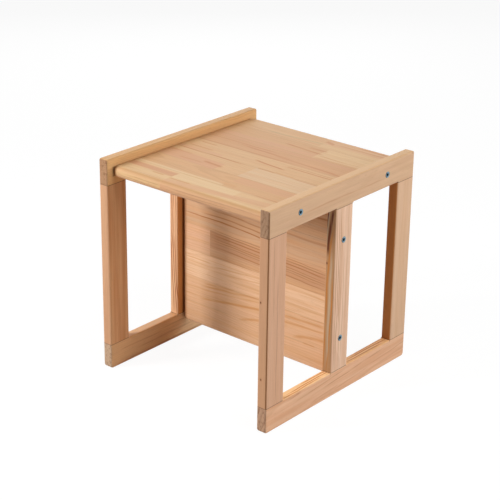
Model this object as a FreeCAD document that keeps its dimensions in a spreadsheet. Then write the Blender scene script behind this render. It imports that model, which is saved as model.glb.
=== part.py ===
import FreeCAD, Part

import math
import os

import Sketcher
from FreeCAD import Placement, Rotation, Vector

# A child's cube chair and table in planed pine. Two open side frames, each of two rails and
# three stiles dowelled together, carry a table board near the top and an upright board in
# the middle. Countersunk hex-socket screws pull the boards' ends against the frames.
#
# Frame: +X to the right, +Y to the back, +Z up, origin on the ground under the centre, in mm.

DRIVING_SIZES = [
    ("overall_width", 344, "across the outer faces of the two side frames"),
    ("overall_depth", 360, "length of every rail"),
    ("overall_height", 360, "ground to the top of the top rails"),
    ("bar_thickness", 18, "planed thickness of rails and stiles"),
    ("rail_height", 42, "planed width of the rails"),
    ("stile_width", 42, "planed width of the stiles"),
    ("bar_arris", 3, "rounding of the bars' free edges, run round each frame once it is glued"),
    ("rail_foot_corner", 5, "rounding of a bottom rail's two lower end corners"),
    ("board_thickness", 18, "thickness of both edge-glued boards"),
    ("board_edge", 7, "rounding of all edges of both boards"),
    ("table_drop", 12, "table board's face below the top of the rails"),
    ("table_setback", 12, "table board's edges behind the frames' front and back"),
    ("upright_lift", 30, "lower edge of the upright board above the ground"),
    ("table_screw_inset", 60, "table board's screws from its front and back edges"),
    ("upright_screw_inset", 67, "upright board's screws from its lower and upper edges"),
    ("screw_length", 50, "whole length of a screw"),
    ("screw_head_diameter", 10, "flat head across its rim"),
    ("screw_head_rim", 0.2, "straight edge of the head above its cone"),
    ("screw_neck_diameter", 6.8, "smooth neck below the head"),
    ("screw_core_diameter", 5, "root of the thread"),
    ("screw_thread_diameter", 7, "outside of the thread"),
    ("screw_thread_pitch", 3, "from one thread ridge to the next"),
    ("screw_tip_length", 4, "tapered end of the screw"),
    ("screw_socket", 4, "hexagon socket across its flats"),
    ("screw_socket_depth", 2.6, "depth of the hexagon socket"),
    ("screw_sink", 0.1, "head's face below the wood around it"),
    ("screw_play", 0.1, "room round a screw on every side"),
    ("dowel_diameter", 8, "beech dowel pins"),
    ("dowel_length", 40, "half in the rail and half in the stile"),
    ("dowel_spacing", 20, "between the two dowels of a joint"),
    ("dowel_chamfer", 1, "bevelled ends of a dowel"),
    ("dowel_flute", 0.4, "depth of the glue flutes along a dowel"),
    ("dowel_play", 0.05, "room round a dowel on every side"),
    ("dowel_well", 1, "room for glue beyond each end of a dowel"),
]

FLUTES_PER_DOWEL = 10
COUNTERSINK_ANGLE = 90

# Sizes that follow from the driving ones, as expressions on the sheet.
STILE_LENGTH = "(Dimensions.overall_height - 2 * Dimensions.rail_height)"
INSIDE_WIDTH = "(Dimensions.overall_width - 2 * Dimensions.bar_thickness)"
TABLE_DEPTH = "(Dimensions.overall_depth - 2 * Dimensions.table_setback)"
TABLE_UNDERSIDE = "(Dimensions.overall_height - Dimensions.table_drop - Dimensions.board_thickness)"
UPRIGHT_HEIGHT = f"({TABLE_UNDERSIDE} - Dimensions.upright_lift)"
FRAME_CENTRE = "(Dimensions.overall_width / 2 - Dimensions.bar_thickness / 2)"
END_STILE_CENTRE = "(Dimensions.overall_depth / 2 - Dimensions.stile_width / 2)"
WINDOW_LENGTH = "((Dimensions.overall_depth - 3 * Dimensions.stile_width) / 2)"
HALF_SPACING = "(Dimensions.dowel_spacing / 2)"
DOWEL_BORE_DEPTH = "(Dimensions.dowel_length / 2 + Dimensions.dowel_well)"
DOWEL_BORE_DIAMETER = "(Dimensions.dowel_diameter + 2 * Dimensions.dowel_play)"
TABLE_SCREW_OFFSET = f"({TABLE_DEPTH} / 2 - Dimensions.table_screw_inset)"
UPRIGHT_SCREW_OFFSET = f"({UPRIGHT_HEIGHT} / 2 - Dimensions.upright_screw_inset)"
UPRIGHT_CENTRE = f"(Dimensions.upright_lift + {UPRIGHT_HEIGHT} / 2)"
TABLE_CENTRE = f"({TABLE_UNDERSIDE} + Dimensions.board_thickness / 2)"
SCREW_REACH = "(Dimensions.screw_length + Dimensions.screw_sink - Dimensions.bar_thickness)"

document = FreeCAD.newDocument("ChairTable")


def make_sheet():
    """Lay the driving sizes out as one row each: name, value, note."""
    sheet = document.addObject("Spreadsheet::Sheet", "Dimensions")
    for row, (alias, value, note) in enumerate(DRIVING_SIZES, start=1):
        sheet.set(f"A{row}", alias)
        sheet.set(f"B{row}", str(value))
        sheet.set(f"C{row}", note)
        sheet.setAlias(f"B{row}", alias)
    document.recompute()
    return sheet


sheet = make_sheet()


def new_body(name):
    body = document.addObject("PartDesign::Body", name)
    body.Label = name
    return body


def origin_feature(body, role):
    for feature in body.Origin.OriginFeatures:
        if feature.Role == role:
            return feature
    raise ValueError(role)


def new_sketch(body, name, plane, offset=None):
    """Start a sketch on one of the body's own origin planes, moved along its normal."""
    sketch = body.newObject("Sketcher::SketchObject", name)
    sketch.AttachmentSupport = [(origin_feature(body, plane), "")]
    sketch.MapMode = "FlatFace"
    if offset is not None:
        sketch.setExpression("AttachmentOffset.Base.z", offset)
    return sketch


def constrain(sketch, name, expression, *reference):
    """Add one dimension to a sketch and bind it to the sheet."""
    index = sketch.addConstraint(Sketcher.Constraint(*reference))
    sketch.renameConstraint(index, name)
    sketch.setExpression(f"Constraints.{name}", expression)


def draw_rectangle(sketch, width, height):
    """Draw a rectangle round the sketch's origin."""
    corners = [Vector(-5, -5, 0), Vector(5, -5, 0), Vector(5, 5, 0), Vector(-5, 5, 0)]
    for start, end in zip(corners, corners[1:] + corners[:1]):
        sketch.addGeometry(Part.LineSegment(start, end))
    for side in range(4):
        sketch.addConstraint(Sketcher.Constraint("Coincident", side, 2, (side + 1) % 4, 1))
    for side, direction in enumerate(["Horizontal", "Vertical", "Horizontal", "Vertical"]):
        sketch.addConstraint(Sketcher.Constraint(direction, side))
    sketch.addConstraint(Sketcher.Constraint("Symmetric", 0, 1, 1, 2, -1, 1))
    constrain(sketch, "across", width, "DistanceX", 0, 1, 0, 2, 10)
    constrain(sketch, "along", height, "DistanceY", 1, 1, 1, 2, 10)


def draw_circles(sketch, diameter, centres):
    """Draw equal circles whose centres are given as pairs of expressions."""
    for number, (across, along) in enumerate(centres):
        sketch.addGeometry(Part.Circle(Vector(number + 1, number + 1, 0), Vector(0, 0, 1), 1))
        constrain(sketch, f"across_{number}", across, "DistanceX", -1, 1, number, 3, 1)
        constrain(sketch, f"along_{number}", along, "DistanceY", -1, 1, number, 3, 1)
        constrain(sketch, f"bore_{number}", diameter, "Diameter", number, 2)


def pad(body, sketch, length):
    feature = body.newObject("PartDesign::Pad", "Blank")
    feature.Profile = sketch
    feature.setExpression("Length", length)
    sketch.Visibility = False
    document.recompute()
    return feature


def round_edges(body, name, radius, chosen):
    """Fillet the edges of the body's present shape that the test picks out."""
    base = body.Tip
    names = [f"Edge{number}" for number, edge in enumerate(base.Shape.Edges, start=1) if chosen(edge)]
    feature = body.newObject("PartDesign::Fillet", name)
    feature.Base = (base, names)
    feature.setExpression("Radius", radius)
    document.recompute()
    return feature


def cut_pocket(body, sketch, name, depth, away_from_sketch=False):
    """Cut a sketch into the body, and make sure that it took wood away."""
    before = body.Shape.Volume
    feature = body.newObject("PartDesign::Pocket", name)
    feature.Profile = sketch
    feature.Reversed = away_from_sketch
    feature.setExpression("Length", depth)
    sketch.Visibility = False
    document.recompute()
    if body.Shape.Volume > before - 1:
        raise RuntimeError(f"{body.Label}: {name} cuts nothing")
    return feature


def stands_along(edge, direction):
    """Whether a straight edge runs along the given axis."""
    if not isinstance(edge.Curve, Part.Line):
        return False
    run = edge.Vertexes[1].Point.sub(edge.Vertexes[0].Point).normalize()
    return abs(run.dot(direction)) > 0.999


def draw_waste_corner(sketch, first, side, half_width, half_height, radius):
    """Outline what a rounding takes off one upper corner of a bar's section."""
    corner = Vector(side * 9, 9, 0)
    below = Vector(side * 9, 6, 0)
    beside = Vector(side * 6, 9, 0)
    middle = Vector(side * 6, 6, 0)
    turn = (0, math.pi / 2) if side > 0 else (math.pi / 2, math.pi)
    sketch.addGeometry(Part.LineSegment(corner, below))
    sketch.addGeometry(Part.LineSegment(beside, corner))
    sketch.addGeometry(Part.ArcOfCircle(Part.Circle(middle, Vector(0, 0, 1), 3), *turn))
    drop, top, round_off = first, first + 1, first + 2
    low_end, high_end = (1, 2) if side > 0 else (2, 1)
    sketch.addConstraint(Sketcher.Constraint("Coincident", drop, 1, top, 2))
    sketch.addConstraint(Sketcher.Constraint("Vertical", drop))
    sketch.addConstraint(Sketcher.Constraint("Horizontal", top))
    sketch.addConstraint(Sketcher.Constraint("Tangent", round_off, low_end, drop, 2))
    sketch.addConstraint(Sketcher.Constraint("Tangent", round_off, high_end, top, 1))
    across = half_width if side > 0 else f"-{half_width}"
    constrain(sketch, f"across_{first}", across, "DistanceX", -1, 1, drop, 1, side * 9)
    constrain(sketch, f"along_{first}", half_height, "DistanceY", -1, 1, drop, 1, 9)
    constrain(sketch, f"radius_{first}", radius, "Radius", round_off, 3)


# Rails and stiles are drawn standing on end: local X is the bar's thickness with the outer
# face at +X, local Y its width, and local Z its length from 0.

def bar_blank(body, width, length):
    """Planed bar with square ends."""
    section = new_sketch(body, "Section", "XY_Plane")
    draw_rectangle(section, "Dimensions.bar_thickness", width)
    pad(body, section, length)


def bore_dowels_in_end(body, name, end_offset, into_positive):
    """Two dowel bores in a stile's end face."""
    sketch = new_sketch(body, f"{name}Sketch", "XY_Plane", end_offset)
    draw_circles(sketch, DOWEL_BORE_DIAMETER, [("0", f"-{HALF_SPACING}"), ("0", HALF_SPACING)])
    cut_pocket(body, sketch, name, DOWEL_BORE_DEPTH, away_from_sketch=into_positive)


def bore_screws(body, centres):
    """Clearance bores through the bar's thickness, countersunk in its outer face."""
    sketch = new_sketch(body, "ScrewSketch", "YZ_Plane", "Dimensions.bar_thickness / 2")
    draw_circles(sketch, "Dimensions.screw_neck_diameter", centres)
    document.recompute()
    before = body.Shape.Volume
    hole = body.newObject("PartDesign::Hole", "ScrewHoles")
    hole.Profile = sketch
    hole.ThreadType = "None"
    hole.DepthType = "ThroughAll"
    hole.DrillPoint = "Flat"
    hole.setExpression("Diameter", "Dimensions.screw_neck_diameter + 2 * Dimensions.screw_play")
    hole.HoleCutType = "Countersink"
    hole.HoleCutCustomValues = True
    head_room = "2 * (Dimensions.screw_play + Dimensions.screw_sink + Dimensions.screw_head_rim)"
    hole.setExpression("HoleCutDiameter", f"Dimensions.screw_head_diameter + {head_room}")
    hole.HoleCutCountersinkAngle = COUNTERSINK_ANGLE
    sketch.Visibility = False
    document.recompute()
    if body.Shape.Volume > before - 1:
        raise RuntimeError(f"{body.Label}: screw holes cut nothing")


def round_window_edges(body):
    """Round the rail's joint-side edges between the stiles, and leave them flush at the joints."""
    middle_stile_end = "Dimensions.overall_depth / 2 + Dimensions.stile_width / 2"
    for name, start in (("FirstWindow", "Dimensions.stile_width"), ("SecondWindow", middle_stile_end)):
        waste = new_sketch(body, f"{name}Waste", "XY_Plane", start)
        for first, side in ((0, 1), (3, -1)):
            draw_waste_corner(waste, first, side, "Dimensions.bar_thickness / 2",
                              "Dimensions.rail_height / 2", "Dimensions.bar_arris")
        cut_pocket(body, waste, f"{name}Arrises", WINDOW_LENGTH, away_from_sketch=True)


def make_rail(name, side, level):
    """Rail of a side frame. Its local +Y face is the one that the stiles butt against."""
    body = new_body(name)
    bar_blank(body, "Dimensions.rail_height", "Dimensions.overall_depth")
    half_height = sheet.rail_height / 2

    def on_free_side(edge):
        return abs(edge.BoundBox.YMax + half_height) < 1e-6

    if level == "bottom":
        def foot_corner(edge):
            return stands_along(edge, Vector(1, 0, 0)) and on_free_side(edge)

        round_edges(body, "FootCorners", "Dimensions.rail_foot_corner", foot_corner)

    def free_edge(edge):
        on_joint_side = abs(edge.BoundBox.YMin - half_height) < 1e-6
        across_foot = level == "bottom" and stands_along(edge, Vector(1, 0, 0))
        return not on_joint_side and not across_foot

    round_edges(body, "FreeArrises", "Dimensions.bar_arris", free_edge)
    round_window_edges(body)

    joint_face = new_sketch(body, "DowelSketch", "XZ_Plane", "-Dimensions.rail_height / 2")
    middle = "Dimensions.overall_depth / 2"
    stile_places = [f"({middle} - {END_STILE_CENTRE})", f"({middle})", f"({middle} + {END_STILE_CENTRE})"]
    centres = []
    for place in stile_places:
        centres.append(("0", f"{place} - {HALF_SPACING}"))
        centres.append(("0", f"{place} + {HALF_SPACING}"))
    draw_circles(joint_face, DOWEL_BORE_DIAMETER, centres)
    cut_pocket(body, joint_face, "DowelBores", DOWEL_BORE_DEPTH, away_from_sketch=True)

    if level == "top":
        drop = f"{TABLE_CENTRE} - (Dimensions.overall_height - Dimensions.rail_height / 2)"
        bore_screws(body, [(f"-({drop})", f"{middle} - {TABLE_SCREW_OFFSET}"),
                           (f"-({drop})", f"{middle} + {TABLE_SCREW_OFFSET}")])

    lay_down = Rotation(Vector(1, 0, 0), -90 if level == "top" else 90)
    body.Placement = Placement(Vector(), side["turn"].multiply(lay_down))
    towards = 1 if level == "top" else -1
    body.setExpression(".Placement.Base.x", f"{side['sign']} * {FRAME_CENTRE}")
    body.setExpression(".Placement.Base.y", f"{-side['sign'] * towards} * Dimensions.overall_depth / 2")
    half = "Dimensions.rail_height / 2"
    body.setExpression(".Placement.Base.z", f"Dimensions.overall_height - {half}" if level == "top" else half)
    return body


def make_stile(name, side, place):
    """Stile of a side frame, standing between the rails. place is -1 front, 0 middle, 1 back."""
    body = new_body(name)
    bar_blank(body, "Dimensions.stile_width", STILE_LENGTH)
    round_edges(body, "LongArrises", "Dimensions.bar_arris", lambda edge: stands_along(edge, Vector(0, 0, 1)))
    bore_dowels_in_end(body, "LowerDowelBores", "0", into_positive=True)
    bore_dowels_in_end(body, "UpperDowelBores", STILE_LENGTH, into_positive=False)
    if place == 0:
        middle = f"({UPRIGHT_CENTRE} - Dimensions.rail_height)"
        bore_screws(body, [("0", f"{middle} - {UPRIGHT_SCREW_OFFSET}"),
                           ("0", f"{middle} + {UPRIGHT_SCREW_OFFSET}")])
    body.Placement = Placement(Vector(), side["turn"])
    body.setExpression(".Placement.Base.x", f"{side['sign']} * {FRAME_CENTRE}")
    body.setExpression(".Placement.Base.y", f"{place} * {END_STILE_CENTRE}")
    body.setExpression(".Placement.Base.z", "Dimensions.rail_height")
    return body


# The boards are drawn lying flat round their own centre: local X runs between the frames.

def make_board(name, depth, screw_offset):
    """Edge-glued board with rounded edges and two pilot bores in each end."""
    body = new_body(name)
    outline = new_sketch(body, "Outline", "XY_Plane", "-Dimensions.board_thickness / 2")
    draw_rectangle(outline, INSIDE_WIDTH, depth)
    pad(body, outline, "Dimensions.board_thickness")
    round_edges(body, "RoundedEdges", "Dimensions.board_edge", lambda edge: True)

    bore = "Dimensions.screw_thread_diameter + 2 * Dimensions.screw_play"
    bore_depth = f"{SCREW_REACH} + Dimensions.screw_play"
    for end, sign in (("Right", 1), ("Left", -1)):
        sketch = new_sketch(body, f"{end}PilotSketch", "YZ_Plane", f"{sign} * {INSIDE_WIDTH} / 2")
        draw_circles(sketch, bore, [(f"-{screw_offset}", "0"), (screw_offset, "0")])
        cut_pocket(body, sketch, f"{end}Pilots", bore_depth, away_from_sketch=sign < 0)
    return body


def make_table_board():
    body = make_board("table_board", TABLE_DEPTH, TABLE_SCREW_OFFSET)
    body.setExpression(".Placement.Base.z", TABLE_CENTRE)


def make_upright_board():
    body = make_board("upright_board", UPRIGHT_HEIGHT, UPRIGHT_SCREW_OFFSET)
    body.Placement = Placement(Vector(), Rotation(Vector(1, 0, 0), 90))
    body.setExpression(".Placement.Base.z", UPRIGHT_CENTRE)


# Screws and dowels are drawn on local Z. A screw's head faces +Z with its rim at 0.

def draw_half_profile(sketch, points):
    """Closed outline right of the sketch's vertical axis, from pairs of expressions."""
    count = len(points)
    for index in range(count):
        start = Vector(1 + index % 3, -index, 0)
        end = Vector(1 + (index + 1) % 3, -(index + 1) % count, 0)
        sketch.addGeometry(Part.LineSegment(start, end))
    for index in range(count):
        sketch.addConstraint(Sketcher.Constraint("Coincident", index, 2, (index + 1) % count, 1))
    for index, (radius, height) in enumerate(points):
        constrain(sketch, f"radius_{index}", radius, "DistanceX", -1, 1, index, 1, 1)
        constrain(sketch, f"height_{index}", height, "DistanceY", -1, 1, index, 1, -1)


def revolve(body, sketch, name):
    feature = body.newObject("PartDesign::Revolution", name)
    feature.Profile = sketch
    feature.ReferenceAxis = (origin_feature(body, "Z_Axis"), [""])
    feature.Angle = 360
    sketch.Visibility = False
    document.recompute()
    return feature


def make_screw(name, side, along_y, height, turn):
    """Countersunk wood screw with a hexagon socket, its thread drawn as ridges."""
    body = new_body(name)
    head = "Dimensions.screw_head_diameter / 2"
    neck = "Dimensions.screw_neck_diameter / 2"
    core = "Dimensions.screw_core_diameter / 2"
    ridge = "Dimensions.screw_thread_diameter / 2"
    rim_end = "Dimensions.screw_head_rim"
    cone_end = f"({rim_end} + {head} - {neck})"
    neck_end = "(Dimensions.bar_thickness - Dimensions.screw_sink)"
    tip_start = "(Dimensions.screw_length - Dimensions.screw_tip_length)"
    outline = new_sketch(body, "Outline", "XZ_Plane")
    draw_half_profile(outline, [
        ("0", "0"),
        (head, "0"),
        (head, f"-{rim_end}"),
        (neck, f"-{cone_end}"),
        (neck, f"-{neck_end}"),
        (core, f"-({neck_end} + {neck} - {core})"),
        (core, f"-{tip_start}"),
        (f"{core} / 3", "-Dimensions.screw_length"),
        ("0", "-Dimensions.screw_length"),
    ])
    revolve(body, outline, "Shank")

    first_ridge = f"({neck_end} + Dimensions.screw_thread_pitch)"
    half_root = "Dimensions.screw_thread_pitch / 4"
    tooth = new_sketch(body, "Ridge", "XZ_Plane")
    draw_half_profile(tooth, [
        (f"{core} / 2", f"-({first_ridge} - {half_root})"),
        (core, f"-({first_ridge} - {half_root})"),
        (ridge, f"-({first_ridge} - {half_root} / 4)"),
        (ridge, f"-({first_ridge} + {half_root} / 4)"),
        (core, f"-({first_ridge} + {half_root})"),
        (f"{core} / 2", f"-({first_ridge} + {half_root})"),
    ])
    ridges = revolve(body, tooth, "ThreadRidge")
    thread = body.newObject("PartDesign::LinearPattern", "Thread")
    thread.Originals = [ridges]
    thread.Direction = (origin_feature(body, "Z_Axis"), [""])
    thread.Reversed = True
    thread.Mode = "Spacing"
    room = f"({tip_start} - {first_ridge} - {half_root})"
    thread.setExpression("Offset", "Dimensions.screw_thread_pitch")
    thread.setExpression("Occurrences", f"floor({room} / Dimensions.screw_thread_pitch) + 1")
    body.Tip = thread
    document.recompute()

    socket = new_sketch(body, "Socket", "XY_Plane")
    for index in range(6):
        start = Rotation(Vector(0, 0, 1), 60 * index).multVec(Vector(3, 0, 0))
        end = Rotation(Vector(0, 0, 1), 60 * (index + 1)).multVec(Vector(3, 0, 0))
        socket.addGeometry(Part.LineSegment(start, end))
    socket.addGeometry(Part.Circle(Vector(), Vector(0, 0, 1), 3), True)
    for index in range(6):
        socket.addConstraint(Sketcher.Constraint("Coincident", index, 2, (index + 1) % 6, 1))
        socket.addConstraint(Sketcher.Constraint("PointOnObject", index, 1, 6))
        if index > 0:
            socket.addConstraint(Sketcher.Constraint("Equal", 0, index))
    socket.addConstraint(Sketcher.Constraint("Coincident", 6, 3, -1, 1))
    socket.addConstraint(Sketcher.Constraint("PointOnObject", 0, 1, -1))
    constrain(socket, "corners", "Dimensions.screw_socket / cos(30)", "Diameter", 6, 2)
    cut_pocket(body, socket, "SocketPocket", "Dimensions.screw_socket_depth")

    face_outward = Rotation(Vector(0, 1, 0), 90)
    spin = Rotation(Vector(0, 0, 1), turn)
    body.Placement = Placement(Vector(), side["turn"].multiply(face_outward).multiply(spin))
    reach = "(Dimensions.overall_width / 2 - Dimensions.screw_sink)"
    body.setExpression(".Placement.Base.x", f"{side['sign']} * {reach}")
    body.setExpression(".Placement.Base.y", along_y)
    body.setExpression(".Placement.Base.z", height)
    return body


def make_dowel(name, side, along_y, joint_height):
    """Fluted dowel pin, half of it on each side of the joint."""
    body = new_body(name)
    section = new_sketch(body, "Section", "XY_Plane", "-Dimensions.dowel_length / 2")
    draw_circles(section, "Dimensions.dowel_diameter", [("0", "0")])
    pad(body, section, "Dimensions.dowel_length")
    pin = body.Tip
    rims = [f"Edge{number}" for number, edge in enumerate(pin.Shape.Edges, start=1) if edge.isClosed()]
    bevel = body.newObject("PartDesign::Chamfer", "EndBevels")
    bevel.Base = (pin, rims)
    bevel.setExpression("Size", "Dimensions.dowel_chamfer")
    document.recompute()

    flute_sketch = new_sketch(body, "FluteSketch", "XY_Plane", "-Dimensions.dowel_length / 2")
    draw_circles(flute_sketch, "2 * Dimensions.dowel_flute", [("Dimensions.dowel_diameter / 2", "0")])
    flute = cut_pocket(body, flute_sketch, "Flute", "Dimensions.dowel_length", away_from_sketch=True)
    flutes = body.newObject("PartDesign::PolarPattern", "Flutes")
    flutes.Originals = [flute]
    flutes.Axis = (origin_feature(body, "Z_Axis"), [""])
    flutes.Angle = 360
    flutes.Occurrences = FLUTES_PER_DOWEL
    body.Tip = flutes
    document.recompute()

    body.setExpression(".Placement.Base.x", f"{side['sign']} * {FRAME_CENTRE}")
    body.setExpression(".Placement.Base.y", along_y)
    body.setExpression(".Placement.Base.z", joint_height)
    return body


# The left frame is the right one turned half round, so that its outer faces point to -X.
SIDES = {
    "left": {"sign": -1, "turn": Rotation(Vector(0, 0, 1), 180)},
    "right": {"sign": 1, "turn": Rotation(Vector(0, 0, 1), 0)},
}
STILE_PLACES = {"front": -1, "middle": 0, "back": 1}
JOINT_HEIGHTS = {
    "bottom": "Dimensions.rail_height",
    "top": "Dimensions.overall_height - Dimensions.rail_height",
}
# How far each screw happened to be turned when it came up tight, in degrees.
SCREW_TURNS = {"front": 12, "back": 41, "upper": 27, "lower": 3}


def make_side_frame(side_name):
    side = SIDES[side_name]
    for level in ("top", "bottom"):
        make_rail(f"{side_name}_{level}_rail", side, level)
    for place_name, place in STILE_PLACES.items():
        make_stile(f"{side_name}_{place_name}_stile", side, place)
        for level, joint_height in JOINT_HEIGHTS.items():
            for dowel_name, sign in (("front", -1), ("back", 1)):
                name = f"{side_name}_{place_name}_stile_{level}_dowel_{dowel_name}"
                along_y = f"{place} * {END_STILE_CENTRE} + {sign} * {HALF_SPACING}"
                make_dowel(name, side, along_y, joint_height)


def make_screws(side_name):
    side = SIDES[side_name]
    for place_name, sign in (("front", -1), ("back", 1)):
        name = f"{side_name}_table_screw_{place_name}"
        make_screw(name, side, f"{sign} * {TABLE_SCREW_OFFSET}", TABLE_CENTRE, SCREW_TURNS[place_name])
    for place_name, sign in (("upper", 1), ("lower", -1)):
        name = f"{side_name}_upright_screw_{place_name}"
        height = f"{UPRIGHT_CENTRE} + {sign} * {UPRIGHT_SCREW_OFFSET}"
        make_screw(name, side, "0", height, SCREW_TURNS[place_name])


def check_document(bodies):
    """Stop if any object failed or any piece is not one sound solid."""
    failed = [item.Label for item in document.Objects if {"Invalid", "Error"} & set(item.State)]
    if failed:
        raise RuntimeError(f"failed objects: {failed}")
    for body in bodies:
        if body.Shape.isNull() or not body.Shape.isValid() or len(body.Shape.Solids) != 1:
            raise RuntimeError(f"{body.Label} is not one sound solid")


def write_parts(bodies):
    os.makedirs("parts", exist_ok=True)
    for body in bodies:
        body.Shape.exportStep(f"parts/{body.Label}.step")
        print(f"{body.Label}: {body.Shape.Volume:.1f} mm3")


for side_name in SIDES:
    make_side_frame(side_name)
make_table_board()
make_upright_board()
for side_name in SIDES:
    make_screws(side_name)
document.recompute()

bodies = [item for item in document.Objects if item.TypeId == "PartDesign::Body"]
check_document(bodies)
write_parts(bodies)
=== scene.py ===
import math

import bpy
from mathutils import Matrix, Vector


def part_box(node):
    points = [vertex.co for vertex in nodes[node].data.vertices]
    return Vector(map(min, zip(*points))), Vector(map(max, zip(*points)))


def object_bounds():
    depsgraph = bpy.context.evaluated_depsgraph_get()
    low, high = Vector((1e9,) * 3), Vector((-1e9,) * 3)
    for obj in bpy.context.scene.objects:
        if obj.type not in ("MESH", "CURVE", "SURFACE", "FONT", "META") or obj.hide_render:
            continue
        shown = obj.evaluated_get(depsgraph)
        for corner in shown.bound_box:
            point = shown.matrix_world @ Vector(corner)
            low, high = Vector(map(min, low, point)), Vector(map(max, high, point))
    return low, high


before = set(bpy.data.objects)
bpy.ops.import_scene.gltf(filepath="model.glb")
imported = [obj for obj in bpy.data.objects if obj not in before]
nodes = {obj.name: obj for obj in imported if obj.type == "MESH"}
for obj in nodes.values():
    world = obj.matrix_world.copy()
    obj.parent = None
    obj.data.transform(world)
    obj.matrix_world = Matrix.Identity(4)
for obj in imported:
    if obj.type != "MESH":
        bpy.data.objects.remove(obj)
cad_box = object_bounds()


# Bottom rails: two bars of planed pine, 18 x 42 mm, that lie on the ground and carry the side
# frames. They are sawn from slow-grown pine, routed and sanded on their free edges, and given two
# thin coats of clear matt lacquer, which soaks into the end grain and leaves it darker and greyer.

def stain(code):
    """A colour from a paint-chart code such as "E5BE8E", as the share of light it throws back."""
    channels = []
    for start in (0, 2, 4):
        shade = int(code[start:start + 2], 16) / 255
        channels.append(shade / 12.92 if shade <= 0.04045 else ((shade + 0.055) / 1.055) ** 2.4)
    return (*channels, 1.0)


class Bench:
    """Nodes being wired up. Each step takes plain values or the results of earlier steps."""

    def __init__(self, tree):
        self.tree = tree

    def feed(self, socket, value):
        if isinstance(value, bpy.types.NodeSocket):
            self.tree.links.new(value, socket)
        else:
            socket.default_value = value

    def step(self, kind, **settings):
        node = self.tree.nodes.new(kind)
        for name, value in settings.items():
            setattr(node, name, value)
        return node

    def maths(self, operation, *values):
        node = self.step("ShaderNodeMath", operation=operation)
        for socket, value in zip(node.inputs, values):
            self.feed(socket, value)
        return node.outputs[0]

    def product(self, first, *others):
        for other in others:
            first = self.maths("MULTIPLY", first, other)
        return first

    def rest(self, share):
        """What a share leaves of the whole."""
        return self.maths("SUBTRACT", 1.0, share)

    def between(self, share, low, high):
        """low where the share is 0, high where it is 1."""
        return self.maths("MULTIPLY_ADD", share, high - low, low)

    def distance(self, *ways):
        """How far off a point is, from how far off it is each way."""
        total = 0.0
        for way in ways:
            total = self.maths("MULTIPLY_ADD", way, way, total)
        return self.maths("SQRT", total)

    def point(self, run, side, depth):
        node = self.step("ShaderNodeCombineXYZ")
        for socket, value in zip(node.inputs, (run, side, depth)):
            self.feed(socket, value)
        return node.outputs[0]

    def parts(self, point):
        node = self.step("ShaderNodeSeparateXYZ")
        self.feed(node.inputs[0], point)
        return node.outputs

    def cloud(self, place, blot, seed, detail=2.0):
        """Soft noise around 0.5. blot is the size of its blots in mm, along and across the grain."""
        run, side, depth = place
        spot = self.point(self.maths("MULTIPLY_ADD", run, 1 / blot[0], seed),
                          self.maths("MULTIPLY", side, 1 / blot[1]),
                          self.maths("MULTIPLY", depth, 1 / blot[2]))
        node = self.step("ShaderNodeTexNoise")
        self.feed(node.inputs["Vector"], spot)
        node.inputs["Scale"].default_value = 1.0
        node.inputs["Detail"].default_value = detail
        return node.outputs

    def lot(self, number):
        """Chance values that stay the same for the same number."""
        node = self.step("ShaderNodeTexWhiteNoise", noise_dimensions="1D")
        self.feed(node.inputs["W"], number)
        return node.outputs

    def rise(self, value, start, end):
        """0 below start, 1 above end and a smooth slope between."""
        node = self.step("ShaderNodeMapRange", interpolation_type="SMOOTHSTEP")
        self.feed(node.inputs["Value"], value)
        self.feed(node.inputs["From Min"], start)
        self.feed(node.inputs["From Max"], end)
        return node.outputs["Result"]

    def patch(self, value, middle, reach, soft):
        """1 within reach of middle, fading to 0 over the soft margin beyond it."""
        away = self.maths("ABSOLUTE", self.maths("SUBTRACT", value, middle))
        return self.rest(self.rise(away, reach, reach + soft))

    def coat(self, share, under, over, how="MIX"):
        node = self.step("ShaderNodeMix", data_type="RGBA", blend_type=how)
        self.feed(node.inputs[0], share)
        self.feed(node.inputs[6], under)
        self.feed(node.inputs[7], over)
        return node.outputs[2]

    def facing(self, way):
        """How squarely the surface faces a way: 1 straight at it and 0 edge on."""
        node = self.step("ShaderNodeVectorMath", operation="DOT_PRODUCT")
        self.feed(node.inputs[0], self.step("ShaderNodeNewGeometry").outputs["True Normal"])
        node.inputs[1].default_value = Vector(way).normalized()
        return node.outputs["Value"]

    def use(self, tool, *values):
        node = self.step("ShaderNodeGroup", node_tree=tool)
        for socket, value in zip(node.inputs, values):
            self.feed(socket, value)
        return node.outputs[0]


class Finish(Bench):
    """The finish of one piece, from its wood up."""

    def __init__(self, name):
        self.material = bpy.data.materials.new(name)
        self.material.use_nodes = True
        super().__init__(self.material.node_tree)
        self.shader = self.tree.nodes["Principled BSDF"]
        self.kept = {}

    def once(self, name, make):
        """A result that several steps share, made the first time it is asked for."""
        if name not in self.kept:
            self.kept[name] = make()
        return self.kept[name]


def make_tool(name, words, draw, **usual):
    """Nodes that are wired once and then used many times.

    words are the numbers that they take. One that is left out is as usual says, or else 0.
    """
    tree = bpy.data.node_groups.new(name, "ShaderNodeTree")
    for word in words.split():
        socket = tree.interface.new_socket(word, in_out="INPUT", socket_type="NodeSocketFloat")
        socket.default_value = usual.get(word, 0.0)
    tree.interface.new_socket("share", in_out="OUTPUT", socket_type="NodeSocketFloat")
    given = tree.nodes.new("NodeGroupInput")
    result = draw(Bench(tree), *given.outputs[:-1])
    tree.links.new(result, tree.nodes.new("NodeGroupOutput").inputs[0])
    return tree


MM_PER_METRE = 1000


def half_size(name):
    """Half the width, depth and height of a piece in mm."""
    low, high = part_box(name)
    return (high - low) * (MM_PER_METRE / 2)


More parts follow.
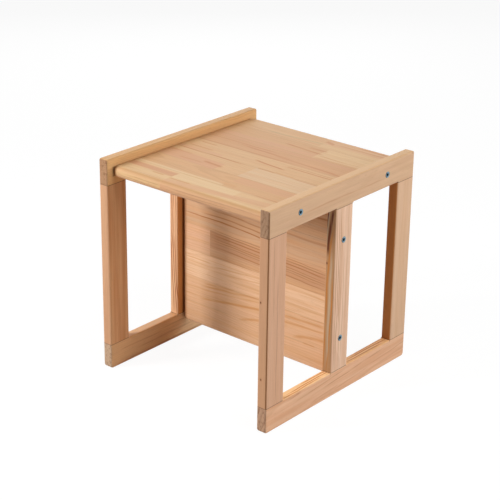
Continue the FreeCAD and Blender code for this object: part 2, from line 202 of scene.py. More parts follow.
def grain_place(finish, along, across, middle):
    """Where a point of the wood lies in mm: along the grain, and two ways across it."""
    spot = finish.step("ShaderNodeVectorMath", operation="MULTIPLY_ADD")
    finish.feed(spot.inputs[0], finish.step("ShaderNodeTexCoord").outputs["Object"])
    spot.inputs[1].default_value = [MM_PER_METRE] * 3
    spot.inputs[2].default_value = middle * -MM_PER_METRE
    spread = finish.parts(spot.outputs[0])
    through = ({"X", "Y", "Z"} - {along, across}).pop()
    return [spread[way] for way in (along, across, through)]


def year_rings(finish, place, heart, lean, gap, seed, wander):
    """Dark latewood of the year rings, 0 to 1, round the tree's heart.

    heart is where the heart runs beside the piece, in mm across the grain both ways, and lean is
    how far it drifts across for each mm along. gap is a usual year's growth. Some years grow
    fatter than others, and some end darker.
    """
    bend_reach = 18 * wander
    fat_growth = 5.0
    darkening, dark, winter = 0.25, 0.85, 0.9
    faintest = 0.3
    run, side, depth = place
    drift = finish.parts(finish.cloud(place, (150, 45, 45), seed, detail=1.5)["Color"])
    away = []
    for way, shift, start, slope in zip((side, depth), drift, heart, lean):
        axis = finish.maths("ADD", start, finish.product(run, slope))
        bend = finish.product(finish.maths("SUBTRACT", shift, 0.5), bend_reach)
        away.append(finish.maths("SUBTRACT", finish.maths("ADD", way, bend), axis))
    radius = finish.distance(*away)
    fatness = finish.cloud((radius, 0.0, 0.0), (5, 1, 1), seed, detail=1.0)["Fac"]
    years = finish.maths("DIVIDE", finish.maths("MULTIPLY_ADD", fatness, fat_growth, radius), gap)
    season = finish.maths("FRACT", years)
    summer = finish.product(finish.rise(season, darkening, dark),
                            finish.rest(finish.rise(season, winter, 1.0)))
    lot = finish.lot(finish.maths("ADD", finish.maths("FLOOR", years), seed))["Value"]
    return finish.product(summer, finish.between(lot, faintest, 1.0))


FRONT, BACK, LEFT, RIGHT, TOP = (0, -1, 0), (0, 1, 0), (-1, 0, 0), (1, 0, 0), (0, 0, 1)


def end_grain(finish, along):
    """1 where the surface faces along the grain, as a sawn end does."""
    way = {"X": RIGHT, "Y": BACK, "Z": TOP}[along]
    return finish.rise(finish.maths("ABSOLUTE", finish.facing(way)), 0.45, 0.85)


def face_tone_and_light(way, dye, share, near=0.6, full=0.9, run=None, depth=None, soft=1.0):
    """Tints the wood where it faces one way: wood cut along its rings is darker than across them.
    Some faces get painted light, and some painted shade, for how the lamps fall on them.

    The tint starts where the surface faces that way as squarely as near, and is whole from full
    on. run and depth, each from and to in mm, keep it to a part of that face, with a soft margin
    across each end.
    """
    def mark(finish, place, colour):
        body = finish.product(finish.rise(finish.facing(way), near, full), share)
        for value, reach in ((place[0], run), (place[2], depth)):
            if reach is not None:
                low, high = reach
                part = finish.patch(value, (low + high) / 2, (high - low) / 2 - soft / 2, soft)
                body = finish.product(body, part)
        return finish.coat(body, colour, stain(dye))
    return mark


def draw_streak(bench, run, line, fray, start, end, at, width, share, slope, bow):
    """A soft streak that leans by slope and bends by bow, frays at its edges and fades at its ends.

    It is full up to a share of its width and length from its middle, and gone past a larger one.
    """
    core, edge = 0.15, 0.65
    body, tip = 0.34, 0.56
    length = bench.maths("SUBTRACT", end, start)
    along = bench.maths("SUBTRACT", run, bench.maths("MULTIPLY_ADD", length, 0.5, start))
    lean = bench.product(along, bench.maths("MULTIPLY_ADD", along, bow, slope))
    off = bench.maths("ABSOLUTE", bench.maths("SUBTRACT", bench.maths("SUBTRACT", line, lean), at))
    beside = bench.rise(off, bench.product(width, core), bench.product(width, edge))
    from_middle = bench.maths("ABSOLUTE", along)
    beyond = bench.rise(from_middle, bench.product(length, body), bench.product(length, tip))
    return bench.product(bench.rest(beside), bench.rest(beyond), fray, share)


def draw_band(bench, run, line, fray, start, end, low, high, share, slope, soft):
    """A broad band with soft sides, which leans by slope and ends square where its stave does."""
    lean = bench.product(bench.maths("SUBTRACT", run, start), slope)
    line = bench.maths("SUBTRACT", line, lean)
    above = bench.rise(line, low, bench.maths("ADD", low, soft))
    below = bench.rest(bench.rise(line, bench.maths("SUBTRACT", high, soft), high))
    begun = bench.maths("GREATER_THAN", run, start)
    not_over = bench.maths("LESS_THAN", run, end)
    return bench.product(above, below, begun, not_over, bench.between(fray, 0.6, 1.0), share)


STREAK = make_tool("streak", "run line fray start end at width share slope bow", draw_streak)
BAND = make_tool("band", "run line fray start end low high share slope soft", draw_band, soft=4.0)


def drawn(tool, dye, *strokes, face=None, sideways=False):
    """Figure in one tone, given stroke by stroke, each with the numbers that its tool takes.

    With a face it shows only near that depth. Sideways is for figure on the piece's side faces.
    """
    wave_height = 5.0
    skin = 2.0

    def mark(finish, place, colour):
        run, side, depth = (place[0], place[2], place[1]) if sideways else place
        wave = finish.once("wave", lambda: finish.cloud(place, (60, 25, 25), 3.0, detail=1.0)["Fac"])
        fray = finish.once("fray", lambda: finish.rise(
            finish.cloud(place, (60, 2.5, 2.5), 4.0)["Fac"], 0.2, 0.5))
        line = finish.maths("MULTIPLY_ADD", finish.maths("SUBTRACT", wave, 0.5), wave_height, side)
        body = 0.0
        for stroke in strokes:
            body = finish.maths("MAXIMUM", body, finish.use(tool, run, line, fray, *stroke))
        if face is not None:
            body = finish.product(body, finish.patch(depth, face, skin, skin))
        return finish.coat(body, colour, stain(dye))
    return mark


def streaks(dye, *strokes, **kept_to):
    """Streaks: start and end along the grain, place and width across it, share, slope and bow."""
    return drawn(STREAK, dye, *strokes, **kept_to)


def bands(dye, *strokes):
    """Bands: start and end along the grain, low and high edge across it, share, slope, softness."""
    return drawn(BAND, dye, *strokes)


def lacquered(finish, place, colour, rings, seed, along, end_tone="B8906C"):
    """Fine fibres, flecks of resin and the sawn ends, all under a thin matt lacquer."""
    soaked = (0.62, 0.56, 0.52, 1)
    resin_share = 0.12
    ring_share, sawn_share = 0.8, 0.9
    darkest_fibre, palest_fibre = 0.89, 1.11
    smoothest, roughest, sawn_roughness = 0.42, 0.58, 0.22
    gloss = 0.14
    fibre_height = 0.00006

    fibres = finish.cloud(place, (55, 1.5, 1.5), seed + 5)["Fac"]
    flecks = finish.rise(finish.cloud(place, (9, 1.1, 1.1), seed + 9, detail=0.0)["Fac"], 0.68, 0.8)
    colour = finish.coat(finish.product(flecks, resin_share), colour, stain("8F5C38"))

    ends = end_grain(finish, along)
    pores = finish.cloud(place, (6, 4, 6), seed + 3, detail=3.0)["Fac"]
    sawn = finish.coat(finish.rise(pores, 0.48, 0.7), stain(end_tone), soaked, "MULTIPLY")
    sawn = finish.coat(finish.product(rings, ring_share), sawn, soaked, "MULTIPLY")
    colour = finish.coat(finish.product(ends, sawn_share), colour, sawn)

    shade = finish.between(fibres, darkest_fibre, palest_fibre)
    colour = finish.coat(1.0, colour, finish.point(shade, shade, shade), "MULTIPLY")
    finish.feed(finish.shader.inputs["Base Color"], colour)

    matt = finish.between(fibres, smoothest, roughest)
    matt = finish.maths("MULTIPLY_ADD", ends, sawn_roughness, matt)
    finish.feed(finish.shader.inputs["Roughness"], matt)
    finish.shader.inputs["Specular IOR Level"].default_value = gloss

    relief = finish.maths("SUBTRACT", finish.maths("MULTIPLY_ADD", rings, 0.5, fibres),
                          finish.maths("MULTIPLY_ADD", ends, pores, flecks))
    bump = finish.step("ShaderNodeBump")
    bump.inputs["Strength"].default_value = 0.5
    bump.inputs["Distance"].default_value = fibre_height
    finish.feed(bump.inputs["Height"], relief)
    finish.feed(finish.shader.inputs["Normal"], bump.outputs[0])


def dress(name, finish):
    """Puts a finish on a piece of the frame."""
    shape = nodes[name].data
    shape.materials.clear()
    shape.materials.append(finish.material)


def finish_bar(name, along, heart, seed, early="E0B78C", late="B07848", blush="D6A27A",
               lean=(0.0, 0.0), gap=2.6, rings=0.5, blushed=1.0, wander=1.0, end_tone="B8906C",
               marks=()):
    """Finishes one solid pine bar.

    early and late are the tones of its spring and summer wood, and blush that of its broad pinker
    bands. rings and blushed are their shares. marks are the figure drawn on it.
    """
    finish = Finish(name)
    low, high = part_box(name)
    place = grain_place(finish, along, "X", (low + high) / 2)
    broad = finish.cloud(place, (230, 8, 8), seed + 1)["Fac"]
    share = finish.product(finish.rise(broad, 0.35, 0.65), blushed)
    colour = finish.coat(share, stain(early), stain(blush))
    summer = year_rings(finish, place, heart, lean, gap, seed, wander)
    colour = finish.coat(finish.product(summer, rings), colour, stain(late))
    for mark in marks:
        colour = mark(finish, place, colour)
    lacquered(finish, place, colour, summer, seed, along, end_tone)
    dress(name, finish)


bar_side, rail_end, rail_top = half_size("left_bottom_rail")
left_bottom_marks = (
    # Painted light: the top face is lightened, as if more lamp light fell on it.
    face_tone_and_light(TOP, "EDBE90", 0.8),
    # Along the inner face: a greyer tone towards the near end, and painted light towards the far end,
    # lifting the shade of the upright board there.
    face_tone_and_light(RIGHT, "C69C74", 0.6, run=(-240, -60), soft=90),
    face_tone_and_light(RIGHT, "FFDCB0", 0.85, run=(-10, 260), soft=120),
    streaks("9A5C34", (-175, 40, -17, 4, 0.5), (-160, -60, 6, 3, 0.3), (-120, 20, -4, 3, 0.3),
            (-60, 120, 10, 3, 0.3), face=bar_side, sideways=True),
)
finish_bar("left_bottom_rail", "Y", heart=(40, 55), seed=1.0, early="E7B17A", blush="D39E70",
           late="A8754A", rings=0.35, end_tone="C2A58B", marks=left_bottom_marks)

right_bottom_marks = (
    # Painted light: the top face is lightened, as if more lamp light fell on it.
    face_tone_and_light(TOP, "FDD29C", 0.8),
    face_tone_and_light(TOP, "EEB478", 0.6, run=(20, rail_end)),
    streaks("BE7034", (-135, -40, 5, 2.6, 0.8), (-120, 20, 1, 2.2, 0.9), (-80, 10, -4, 2.6, 0.8),
            (-30, 30, 6, 2.2, 0.7), (24, 120, 4, 3.0, 0.8, 0.02), (30, 140, -1, 3.0, 0.9, 0.02),
            (50, 140, -5, 2.6, 0.8), face=rail_top),
    streaks("F6CE98", (-135, -20, -1, 2.4, 0.6), (-60, 20, 3, 2.4, 0.6), (30, 110, 1.5, 2.4, 0.6),
            face=rail_top),
    streaks("BA805A", (-135, -95, 16, 2.4, 0.6, 0.07), (-110, 15, 11, 2.2, 0.6, 0.07),
            (-40, 122, 8, 2.4, 0.7, 0.07), (-70, 0, -9, 2.2, 0.4, 0.07),
            (-10, 80, -8, 2.2, 0.4, 0.07), (80, 190, 2, 2.4, 0.5, 0.07),
            face=bar_side, sideways=True),
)
finish_bar("right_bottom_rail", "Y", heart=(-90, 40), seed=2.0, lean=(0, 0.07), early="E4B895",
           blush="DBA782", late="B87C52", rings=0.3, gap=6.5, wander=0.8, end_tone="B89276",
           marks=right_bottom_marks)


# Stiles: six upright bars of the same pine, three in each side frame. Each stands between the rails
# in a butt joint with two glued dowels, and the glue leaves a hairline round the joint.

def glue_lines(finish, place, colour):
    """The dark hairlines round both ends of a stile, so many mm in from the joints."""
    clear, dark = 1.3, 0.4
    line = finish.rise(finish.maths("ABSOLUTE", place[0]), stile_end - clear, stile_end - dark)
    return finish.coat(finish.product(line, 0.85), colour, stain("6B4A34"))


def pin_knot(run, side, depth, size):
    """A small hard knot of a twig, with its point of dark bark and the grain that turns round it.

    Its size is its reach across the grain in mm. Along the grain it is longer.
    """
    long_along = 1.4

    def mark(finish, place, colour):
        reach = []
        for way, at, radius in zip(place, (run, side, depth), (size * long_along, size, size)):
            reach.append(finish.product(finish.maths("SUBTRACT", way, at), 1 / radius))
        away = finish.distance(*reach)
        turned_grain = finish.product(finish.rest(finish.rise(away, 0.5, 1.8)), 0.5)
        colour = finish.coat(turned_grain, colour, stain("A8683C"))
        return finish.coat(finish.rest(finish.rise(away, 0.3, 0.9)), colour, stain("5A3520"))
    return mark


def painted_joint_shade(way):
    """Painted shade in the joint between a middle stile and the upright board.

    It shows as a dark line beside each face of the board.
    """
    beside = 0.5
    board_side = half_size("upright_board")[1] + beside
    return face_tone_and_light(way, "7C4420", 0.7, depth=(-board_side, board_side))


def finish_stile(name, heart, seed, marks=(), **choice):
    """Finishes one stile, with the glue in its joints."""
    finish_bar(name, "Z", heart, seed, marks=(*marks, glue_lines), **choice)


stile_front = -half_size("left_front_stile")[1]
stile_end = half_size("left_front_stile")[2]
dark_arris = face_tone_and_light((1, -1, 0), "82501F", 0.8, near=0.9, full=0.985)

finish_stile("left_front_stile", heart=(45, 60), seed=3.0, early="D5A376", blush="C88E60",
             late="A86E42", gap=2.2, marks=(face_tone_and_light(FRONT, "C59776", 0.7),))

left_middle_marks = (
    streaks("A0562C", (-stile_end, 0, 6, 2.4, 0.9, -0.06), (-stile_end, 10, 1.5, 2.4, 0.9, -0.06),
            (-stile_end, 0, -3, 2.4, 0.9, -0.06), (-20, stile_end, 4.5, 2.0, 0.9),
            (-20, stile_end, 0.5, 1.8, 0.7), (-20, stile_end, -4, 2.0, 0.8), face=stile_front),
    face_tone_and_light(RIGHT, "D99655", 0.9),
    # Painted shade beside the upright board, on the stile's inner face.
    painted_joint_shade(RIGHT),
)
finish_stile("left_middle_stile", heart=(70, -12), seed=4.0, early="EABC92", blush="E4B087",
             late="A4552A", lean=(0.03, 0), gap=3.0, wander=0.5, blushed=0.6,
             marks=left_middle_marks)

finish_stile("left_back_stile", heart=(50, -40), seed=5.0)

right_front_marks = (
    face_tone_and_light(FRONT, "C3916A", 0.7),
    streaks("B08468", (-130, 70, 1.5, 2.2, 0.7), (10, 130, -7, 2.0, 0.5), face=bar_side,
            sideways=True),
    pin_knot(34.7, -4.5, stile_front, 1.7),
    pin_knot(-90.7, -1.9, stile_front, 1.7),
    dark_arris,
)
finish_stile("right_front_stile", heart=(60, 50), seed=6.0, early="D4A788", blush="CC9D7A",
             late="A07250", gap=2.4, rings=0.1, blushed=0.5, marks=right_front_marks)

right_middle_marks = (
    # Painted shade beside the upright board, on the stile's inner face.
    painted_joint_shade(LEFT),
    face_tone_and_light(FRONT, "AB7D4F", 0.85),
    streaks("A87048", (-stile_end, stile_end, -15.5, 1.8, 0.8, -0.01),
            (-stile_end, stile_end, -11, 1.8, 0.8), (-100, stile_end, -7, 1.6, 0.8),
            (-stile_end, 110, -3.5, 1.6, 0.6), (-120, 60, 3, 1.6, 0.5),
            (-60, stile_end, 10.5, 1.6, 0.5), face=bar_side, sideways=True),
    streaks("BC7632", (-stile_end, 20, 4.5, 2.6, 0.95, 0.045, -0.0002),
            (-stile_end, -60, -6.5, 3, 0.9, 0.02), (-60, 106, -4, 4.2, 0.8, 0.05, 0.0006),
            face=stile_front),
    streaks("BCA68C", (-120, 70, 1, 5, 0.8, 0.01), (70, stile_end, -6.5, 3, 0.85, 0.08, 0.001),
            face=stile_front),
    streaks("622A12", (60, stile_end, -2, 6, 0.95, 0.12, 0.0012),
            (80, stile_end, -8, 2.4, 0.95, 0.1, 0.001), face=stile_front),
    pin_knot(46.5, -6, stile_front, 2.0),
)
finish_stile("right_middle_stile", heart=(90, -10), seed=7.0, early="E4C1A5", blush="DEB494",
             late="A8663C", gap=4.2, rings=0.25, wander=0.5, blushed=0.6, lean=(0, -0.03),
             marks=right_middle_marks)

finish_stile("right_back_stile", heart=(70, 60), seed=8.0, early="D5B090", blush="D0A681",
             late="A87850", gap=2.2, rings=0.1, blushed=0.5,
             marks=(face_tone_and_light(FRONT, "C67D3B", 0.85),))


# Top rails: two more bars of the same size over the stiles. They stand 12 mm above the table
# board, and so keep things from rolling off its sides.

def painted_corner_shade(way):
    """Painted shade in the corner where the board's round front edge meets the rail."""
    _, half_depth, half_thickness = half_size("table_board")
    reach = (-half_depth, 10 - half_depth)
    return face_tone_and_light(way, "6E421E", 0.6, run=reach, depth=(-half_thickness, half_thickness - 2))


finish_bar("left_top_rail", "Y", heart=(34, -60), seed=21.0, early="E4B47C", blush="DBA771",
           late="B47E47", gap=2.4, rings=0.3, wander=1.5, blushed=0.6, end_tone="A88062",
           # Painted shade in the corner beside the table board's front edge.
           marks=(painted_corner_shade(RIGHT),))

right_top_marks = (
    face_tone_and_light(TOP, "E6BA89", 0.8),
    streaks("A8683C", (-100, 100, -4, 3.0, 0.35), face=bar_side, sideways=True),
    dark_arris,
    # Painted shade in the corner beside the table board's front edge.
    painted_corner_shade(LEFT),
)
finish_bar("right_top_rail", "Y", heart=(-90, 20), seed=22.0, early="D2AD8A", blush="C8A080",
           late="AF825A", rings=0.12, gap=5.0, blushed=0.6, end_tone="A27F63",
           marks=right_top_marks)


# Table board: seven rows of finger-jointed pine staves, edge-glued and planed to 18 mm, with its
# front and back edges routed round. Its ends butt against the top rails, and two screws hold each.

PINE = {"cream": "E7C08E", "straw": "E2B684", "tan": "DDAD7B", "rose": "DCA878", "pale": "E4BF94",
        "peach": "E3B791", "shell": "EAC29D", "blush": "DFB28F", "umber": "D0A480", "dusk": "CEA683"}


def pick(finish, number, choices):
    """The choice whose place in the list is the given whole number, as a colour and its alpha."""
    ramp = finish.step("ShaderNodeValToRGB")
    ramp.color_ramp.interpolation = "CONSTANT"
    slot = finish.maths("DIVIDE", finish.maths("ADD", number, 0.5), len(choices))
    finish.feed(ramp.inputs[0], slot)
    stops = ramp.color_ramp.elements
    while len(stops) < len(choices):
        stops.new(1.0)
    for index, choice in enumerate(choices):
        stops[index].position = index / len(choices)
        stops[index].color = choice
    return ramp.outputs


def number_staves(finish, place, stave_width, first_seam, joints):
    """Numbers the staves, two to a row, and finds the glue seams between the rows.

    joints are where the first stave of each row ends and the second starts, in mm along the
    board, or None for a row that is one stave from end to end.
    """
    run, side = place[:2]
    from_first = finish.maths("SUBTRACT", side, first_seam - stave_width)
    rows = finish.maths("DIVIDE", from_first, stave_width)
    row = finish.maths("MAXIMUM", finish.maths("FLOOR", rows), 0.0)
    second = 0.0
    for index, joint in enumerate(joints):
        if joint is not None:
            inside = finish.maths("COMPARE", row, float(index), 0.5)
            past = finish.maths("GREATER_THAN", run, joint)
            second = finish.maths("MULTIPLY_ADD", inside, past, second)
    from_seam = finish.maths("MULTIPLY", finish.maths("PINGPONG", rows, 0.5), stave_width)
    seam = finish.rest(finish.rise(from_seam, 0.1, 0.6))
    return finish.maths("MULTIPLY_ADD", row, 2.0, second), seam


def finish_board(name, across, stave_width, first_seam, joints, staves, gap, seed, late, marks):
    """Finishes an edge-glued board. Each stave is a tone of pine and the share of its rings.

    Broad rosy bands and brown hairlines run along each stave, and its rings are its own, because
    it was sawn somewhere else in the tree.
    """
    rosy_share, hair_share, seam_share = 0.4, 0.45, 0.22
    finish = Finish(name)
    low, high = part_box(name)
    place = grain_place(finish, "X", across, (low + high) / 2)
    number, seam = number_staves(finish, place, stave_width, first_seam, joints)
    tones = pick(finish, number, [(*stain(PINE[tone])[:3], rings) for tone, rings in staves])

    own = finish.maths("MULTIPLY_ADD", number, 7.3, seed)
    broad = finish.cloud(place, (260, 9, 9), own)["Fac"]
    share = finish.product(finish.rise(broad, 0.38, 0.68), rosy_share)
    colour = finish.coat(share, tones["Color"], stain(PINE["rose"]))
    hairs = finish.cloud(place, (90, 1.6, 5), finish.maths("ADD", own, 11.0), detail=3.0)["Fac"]
    share = finish.product(finish.rise(hairs, 0.5, 0.75), hair_share)
    colour = finish.coat(share, colour, stain("C98C5A"))

    luck = finish.parts(finish.lot(finish.maths("ADD", number, seed))["Color"])
    heart = (finish.between(luck[0], -120, 120), finish.between(luck[1], -75, -15))
    lean = (finish.between(luck[2], -0.06, 0.06), 0.0)
    summer = year_rings(finish, place, heart, lean, gap, seed, 1.0)
    colour = finish.coat(finish.product(summer, tones["Alpha"]), colour, stain(late))

    for mark in marks:
        colour = mark(finish, place, colour)
    colour = finish.coat(finish.product(seam, seam_share), colour, stain("7A5536"))
    lacquered(finish, place, colour, summer, seed, "X")
    dress(name, finish)


def painted_end_shade(start, end, dye, share):
    """Painted shade on the board's rounded front and back corners beside the left frame.

    It starts so many mm left of the board's middle, and is whole from end on.
    """
    def mark(finish, place, colour):
        leftward = finish.maths("MULTIPLY", place[0], -1.0)
        corner = finish.rise(leftward, start, end)
        on_edge = finish.rise(finish.maths("ABSOLUTE", finish.facing(FRONT)), 0.1, 0.6)
        return finish.coat(finish.product(corner, on_edge, share), colour, stain(dye))
    return mark


board_end, board_edge, _ = half_size("table_board")
table_staves = (
    ("cream", 0.15), ("cream", 0.2),
    ("tan", 0.25), ("tan", 0.15),
    ("straw", 0.2), ("pale", 0.08),
    ("straw", 0.15), ("straw", 0.2),
    ("rose", 0.35), ("tan", 0.35),
    ("tan", 0.2), ("cream", 0.15),
    ("straw", 0.15), ("cream", 0.15),
)
table_marks = (
    bands("DCA57C", (-board_end, 48, 72, 90, 0.6), (23.5, board_end, 137, 170, 0.5),
          (-board_end, -60, -24, -12, 0.6)),
    bands("D4996F", (-board_end, -53.5, -141, -123, 0.9)),
    bands("DAA278", (-53, board_end, -172, -150, 0.6, 0.12, 6.0), (29, board_end, -97, -72, 0.6),
          (-board_end, -29, -72, -37, 0.85, -0.05), (-board_end, board_end, 60, 72, 0.5)),
    bands("EBCB9C", (-board_end, 28, -121, -111, 0.7), (-53, 70, -144, -120, 0.5)),
    streaks("CF905A", (-92, -66, -144, 4, 0.7), (-54, -8, -147, 4, 0.7), (20, 50, -111, 12, 0.35),
            (50, board_end, 85, 2.6, 0.8), (50, board_end, 75, 8, 0.5), (18, 54, -24, 4, 0.9),
            (49, 90, -21, 3, 0.7)),
    streaks("CD8C5A", (90, board_end, -118, 3, 0.7), (-150, -100, -42, 3, 0.8),
            (-110, -60, -62, 4, 0.6), (-140, -85, -7, 4, 0.8), (46, board_end, 16, 2.4, 0.7),
            (90, board_end, -25.5, 2.6, 0.8), (-board_end, 0, 51, 4, 0.8, -0.01),
            (-80, board_end, 38, 6, 0.85, -0.07), (-board_end, 60, 26, 4, 0.7),
            (16, 54, 108, 6, 0.8), (40, board_end, 147, 4, 0.6), (20, 40, 147, 9, 0.7, -0.3)),
    streaks("C8824E", (-66, -24, -56, 7, 0.9, -0.08), (-board_end, -5, -24.5, 3.6, 0.9, -0.01),
            (-133, -98, 14, 3, 0.8), (-10, 56, 0, 4.4, 0.9, -0.12), (46, board_end, 10, 3, 0.9),
            (-24, 56, 95, 5, 0.9, -0.06), (80, board_end, 157, 5, 0.6)),
    streaks("C4A676", (-90, 30, 132, 3.4, 0.7, 0.05)),
    face_tone_and_light(FRONT, "DCA680", 0.65, run=(-53.5, board_end + 6)),
    streaks("B27E58", (-board_end, -60, -3, 1.5, 0.6), (-110, -53, 2, 1.5, 0.5),
            (-50, board_end, 3, 1.5, 0.5), (-50, 90, -1.5, 1.5, 0.6), (-20, board_end, -5, 1.5, 0.5),
            face=-board_edge, sideways=True),
    # Painted shade on the upper and lower rounds of the front edge, dimming the light the lamps leave
    # on them.
    face_tone_and_light((0, -1, 1), "C89B70", 0.8, near=0.8, full=0.97),
    face_tone_and_light((0, -1, -1), "B98A68", 0.8, near=0.75, full=0.97),
    # Painted shade in the board's corners at its left end, beside the rail.
    painted_end_shade(144, 149, "8A5A34", 0.6),
)
finish_board("table_board", "Y", stave_width=48, first_seam=-120,
             joints=(-53, 30, 18, 50, None, 49, 23.5), staves=table_staves, gap=3.0, seed=31.0,
             late="B07442", marks=table_marks)


# Upright board: a second board glued up from the same staves and cut to the same length. It hangs
# between the middle stiles on two screws at each end, and is the seat when the piece is tipped on
# its back or its front.

upright_staves = (
    ("peach", 0.2), ("peach", 0.2),
    ("peach", 0.15), ("peach", 0.15),
    ("shell", 0.15), ("shell", 0.15),
    ("blush", 0.2), ("umber", 0.3),
    ("dusk", 0.2), ("dusk", 0.2),
    ("dusk", 0.2), ("dusk", 0.2),
    ("dusk", 0.3), ("dusk", 0.3),
)
upright_marks = (
    bands("C08E6A", (-92.5, board_end, -2, 31, 0.6, -0.03)),
    bands("A87448", (-92.5, -50, 16, 31, 0.3, -0.03)),
    streaks("CE9462", (-150, -90, -30, 2.6, 0.6, 0.02), (-90, 20, -30, 2.6, 0.6, 0.07),
            (-60, 40, -37, 2.6, 0.5, 0.07), (-60, board_end, -49, 5.0, 0.4, -0.02),
            (40, board_end, -24, 3.0, 0.5), (-board_end, -90, -81, 3.0, 0.5, 0.05),
            (-board_end, -90, -94, 3.0, 0.5, 0.05), (40, board_end, -65, 2.4, 0.7, 0.02)),
    streaks("CE9058", (-105, -38, -65.5, 3.4, 0.6, 0.11), (-110, 20, -68, 4.0, 0.7, 0.1),
            (-110, 20, -75, 3.0, 0.5, 0.11), (-115, 30, -88.5, 5.0, 0.8, 0.14),
            (-28, 70, -99, 5.5, 0.7, 0.2, -0.0012), (20, board_end, -73.5, 5.0, 0.8, 0.045),
            (40, board_end, -83, 4.0, 0.6, 0.05), (86, 170, -96, 6.0, 0.7, 0.14, -0.002),
            (105, 130, -110, 3.0, 0.7)),
    streaks("A87648", (-94, 158, 12.5, 1.8, 0.8, -0.04), (-94, 158, 8.5, 1.8, 0.8, -0.04),
            (-94, 158, 4.5, 1.6, 0.7, -0.04), (-94, 158, 23.5, 2.0, 0.8, -0.04),
            (-94, 158, 27.5, 1.6, 0.7, -0.04)),
    streaks("A86C3C", (-94, 158, 18.5, 2.6, 0.75, -0.04), (-94, 158, -2, 2.4, 0.6, -0.04)),
    streaks("B07444", (-board_end, 40, 49, 2.8, 1.0, -0.03, -0.0003),
            (-110, 40, 56, 2.8, 0.8, -0.03, -0.0003), (-100, 40, 65, 3.0, 0.8, -0.04),
            (60, board_end, 68, 4.0, 0.5, -0.02), (60, board_end, 110, 4.0, 0.8, 0.02),
            (60, board_end, 119, 3.0, 0.8, 0.02)),
    # Painted shadow of the left middle stile on the board's left end.
    painted_end_shade(142, 149, "8A5630", 0.65),
)
finish_board("upright_board", "Z", stave_width=46.5, first_seam=-109.5,
             joints=(None, None, None, -93, None, None, None), staves=upright_staves, gap=4.6,
             seed=57.0, late="B5713A", marks=upright_marks)


# Dowels: fluted beech pins, glued into the stile joints and quite hidden once the frames are
# closed. Steamed beech is pinker than pine and flecked with short brown rays.

beech = Finish("beech")
pin_place = grain_place(beech, "Z", "X", Vector((0, 0, 0)))
rays = beech.rise(beech.cloud(pin_place, (2.5, 0.4, 0.4), 4.0, detail=1.0)["Fac"], 0.55, 0.7)
tone = beech.coat(beech.cloud(pin_place, (60, 3, 3), 8.0)["Fac"], stain("D9A77F"), stain("C88F68"))
tone = beech.coat(beech.product(rays, 0.5), tone, stain("9A6242"))
beech.feed(beech.shader.inputs["Base Color"], tone)
beech.feed(beech.shader.inputs["Roughness"], beech.between(rays, 0.6, 0.7))
for name in nodes:
    if "_dowel_" in name:
        dress(name, beech)


# Screws: countersunk steel wood screws with a hexagon socket, zinc-plated and blue-passivated, so
# their turned heads shine bluish grey. The socket is painted dark, as shade.

def zinc_plate(name):
    """Finish of one screw: bluish plate, painted shade in its socket, and a painted shadow in the
    front of its hole.

    The socket and the rim are measured in mm from the screw's axis.
    """
    socket_dark, socket_clear = 2.2, 3.2
    rim_clear, rim_dark = 3.2, 4.2
    shade_share = 0.93
    zinc = Finish(name)
    low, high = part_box(name)
    middle = (low + high) / 2
    head_face = max(abs(low[0]), abs(high[0])) * MM_PER_METRE
    run, side, depth = grain_place(zinc, "X", "Y", Vector((0, middle[1], middle[2])))
    sunk = zinc.maths("SUBTRACT", head_face, zinc.maths("ABSOLUTE", run))
    off_axis = zinc.distance(side, depth)

    clouding = zinc.cloud((run, side, depth), (3, 3, 3), 2.0, detail=3.0)["Fac"]
    plate = zinc.coat(clouding, stain("8FB0BE"), stain("5E7F90"))
    # Painted shade in the socket and wherever the screw lies under its head's face, and a painted
    # shadow across the front of its rim.
    socket_shade = zinc.rest(zinc.rise(off_axis, socket_dark, socket_clear))
    frontward = zinc.maths("MULTIPLY", side, -1.0)
    rim_shadow = zinc.product(zinc.rise(off_axis, rim_clear, rim_dark), zinc.rise(frontward, 1.0, 3.0))
    dark = zinc.maths("MAXIMUM", zinc.maths("MAXIMUM", socket_shade, rim_shadow), zinc.rise(sunk, 0.1, 0.6))
    plate = zinc.coat(zinc.product(dark, shade_share), plate, stain("14181A"))
    zinc.feed(zinc.shader.inputs["Base Color"], plate)

    zinc.shader.inputs["Metallic"].default_value = 0.9
    turning = zinc.cloud((off_axis, 0.0, 0.0), (0.3, 1, 1), 6.0, detail=1.0)["Fac"]
    zinc.feed(zinc.shader.inputs["Roughness"], zinc.between(turning, 0.25, 0.45))
    return zinc


for name in nodes:
    if "_screw_" in name:
        dress(name, zinc_plate(name))


# Studio floor: a wide sweep of white paper. It throws back most of the lamps' light, and to the
# eye it is lit to plain white, with only a faint shadow of the object left on it.

def looked_at(bench):
    """1 to the eye and in a gloss, and 0 to the light that falls on the object."""
    ray = bench.step("ShaderNodeLightPath")
    return bench.maths("MAXIMUM", ray.outputs["Is Camera Ray"], ray.outputs["Is Glossy Ray"])


paper_reach = 6.0
paper_level = -0.0003
paper_glow = 0.935
sheet = bpy.data.meshes.new("studio_floor")
sheet.from_pydata([(-paper_reach, -paper_reach, 0), (paper_reach, -paper_reach, 0),
                   (paper_reach, paper_reach, 0), (-paper_reach, paper_reach, 0)],
                  [], [(0, 1, 2, 3)])
floor = bpy.data.objects.new("studio_floor", sheet)
floor.location.z = paper_level
bpy.context.scene.collection.objects.link(floor)

paper = Finish("white_paper")
to_the_eye = looked_at(paper)
paper_tone = paper.coat(to_the_eye, (0.8, 0.8, 0.8, 1), (0.1, 0.1, 0.1, 1))
paper.feed(paper.shader.inputs["Base Color"], paper_tone)
paper.shader.inputs["Emission Color"].default_value = (1, 1, 1, 1)
paper.feed(paper.shader.inputs["Emission Strength"], paper.product(to_the_eye, paper_glow))
paper.shader.inputs["Roughness"].default_value = 1.0
paper.shader.inputs["Specular IOR Level"].default_value = 0.0
sheet.materials.append(paper.material)


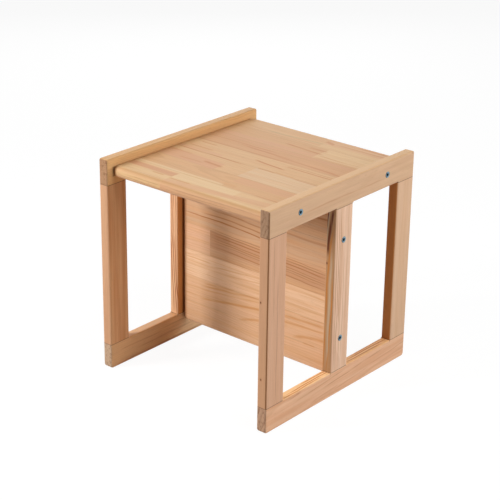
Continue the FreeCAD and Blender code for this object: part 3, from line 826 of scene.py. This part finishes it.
# Backdrop: a white surround a long way off. It is plain white to the eye and in the gloss of the
# lacquer and the screws, and gives no light itself.

world = bpy.data.worlds.new("backdrop")
world.use_nodes = True
bpy.context.scene.world = world
surround = world.node_tree.nodes["Background"]
surround.inputs["Color"].default_value = (1, 1, 1, 1)
backdrop = Bench(world.node_tree)
backdrop.feed(surround.inputs["Strength"], looked_at(backdrop))


# Lamps: a small softbox in front on the left draws the shadow of the front stile on the upright
# board. Wide ones overhead and behind, left and right, light the top and the outer sides.

def softbox(name, azimuth, elevation, distance, size, watts):
    """A lamp that points at the object's middle. Azimuth 0 is in front of it, 90 on its right."""
    turn = math.radians(azimuth)
    lift = math.radians(elevation)
    way = Vector((math.sin(turn) * math.cos(lift), -math.cos(turn) * math.cos(lift), math.sin(lift)))
    light = bpy.data.lights.new(name, "AREA")
    light.shape = "RECTANGLE"
    light.size, light.size_y = size
    light.energy = watts
    stand = bpy.data.objects.new(name, light)
    bpy.context.scene.collection.objects.link(stand)
    stand.location = Vector((0, 0, cad_box[1][2] / 2)) + way * distance
    stand.rotation_euler = way.to_track_quat("Z", "Y").to_euler()
    stand.visible_camera = False


softbox("front_left_softbox", azimuth=-34.5, elevation=25, distance=1.8, size=(0.45, 0.5), watts=27)
softbox("overhead_softbox", azimuth=88, elevation=58, distance=1.8, size=(1.2, 1.2), watts=15)
softbox("back_right_softbox", azimuth=114, elevation=13, distance=2.2, size=(1.5, 0.8), watts=22.3)
softbox("back_left_softbox", azimuth=-136, elevation=18, distance=2.2, size=(1.4, 0.9), watts=9)


# Camera: a long lens, higher than the table and well to the right of its front. The table board,
# the upright board and the outer side of the right frame all show, and it is rolled a little.

focal_length = 111.04
film_width = 36
eye = Vector((1.4610, -1.7558, 1.1537))
turn, tilt, roll = (math.radians(angle) for angle in (40.041, 22.717, 0.798))
back = Vector((math.sin(turn) * math.cos(tilt), -math.cos(turn) * math.cos(tilt), math.sin(tilt)))
level = Vector((math.cos(turn), math.sin(turn), 0))
right = level * math.cos(roll) + back.cross(level) * math.sin(roll)
up = back.cross(right)
lens = bpy.data.cameras.new("camera")
lens.lens = focal_length
lens.sensor_width = film_width
camera = bpy.data.objects.new("camera", lens)
bpy.context.scene.collection.objects.link(camera)
camera.matrix_world = Matrix((
    (right.x, up.x, back.x, eye.x),
    (right.y, up.y, back.y, eye.y),
    (right.z, up.z, back.z, eye.z),
    (0, 0, 0, 1)))
bpy.context.scene.camera = camera
bpy.context.scene.view_settings.view_transform = "Standard"
